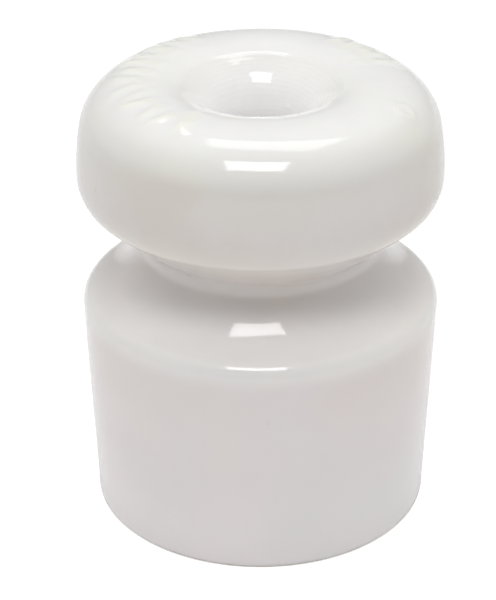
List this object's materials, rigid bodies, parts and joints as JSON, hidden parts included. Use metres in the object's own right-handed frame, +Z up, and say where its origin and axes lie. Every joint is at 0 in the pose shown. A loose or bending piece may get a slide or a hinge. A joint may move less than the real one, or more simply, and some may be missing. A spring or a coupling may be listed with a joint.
{
  "type": "fence insulator",
  "caption": "Glazed porcelain knob with a round head, a wire groove at the waist, a flat foot and a flared screw bore through the middle.",
  "frame": {"origin": "centre of the flat foot, on the axis of the screw bore", "axes": "+Z up along the axis, from the foot to the head; the part is round, so +X and -Y are only the chosen right and front"},
  "size_m": [0.0358, 0.0358, 0.0448],
  "materials": {
    "glazed_porcelain": "glossy white glaze over white porcelain, unglazed under the foot"
  },
  "bodies": {
    "root": {"porcelain_body": "glazed_porcelain"}
  },
  "joints": []
}
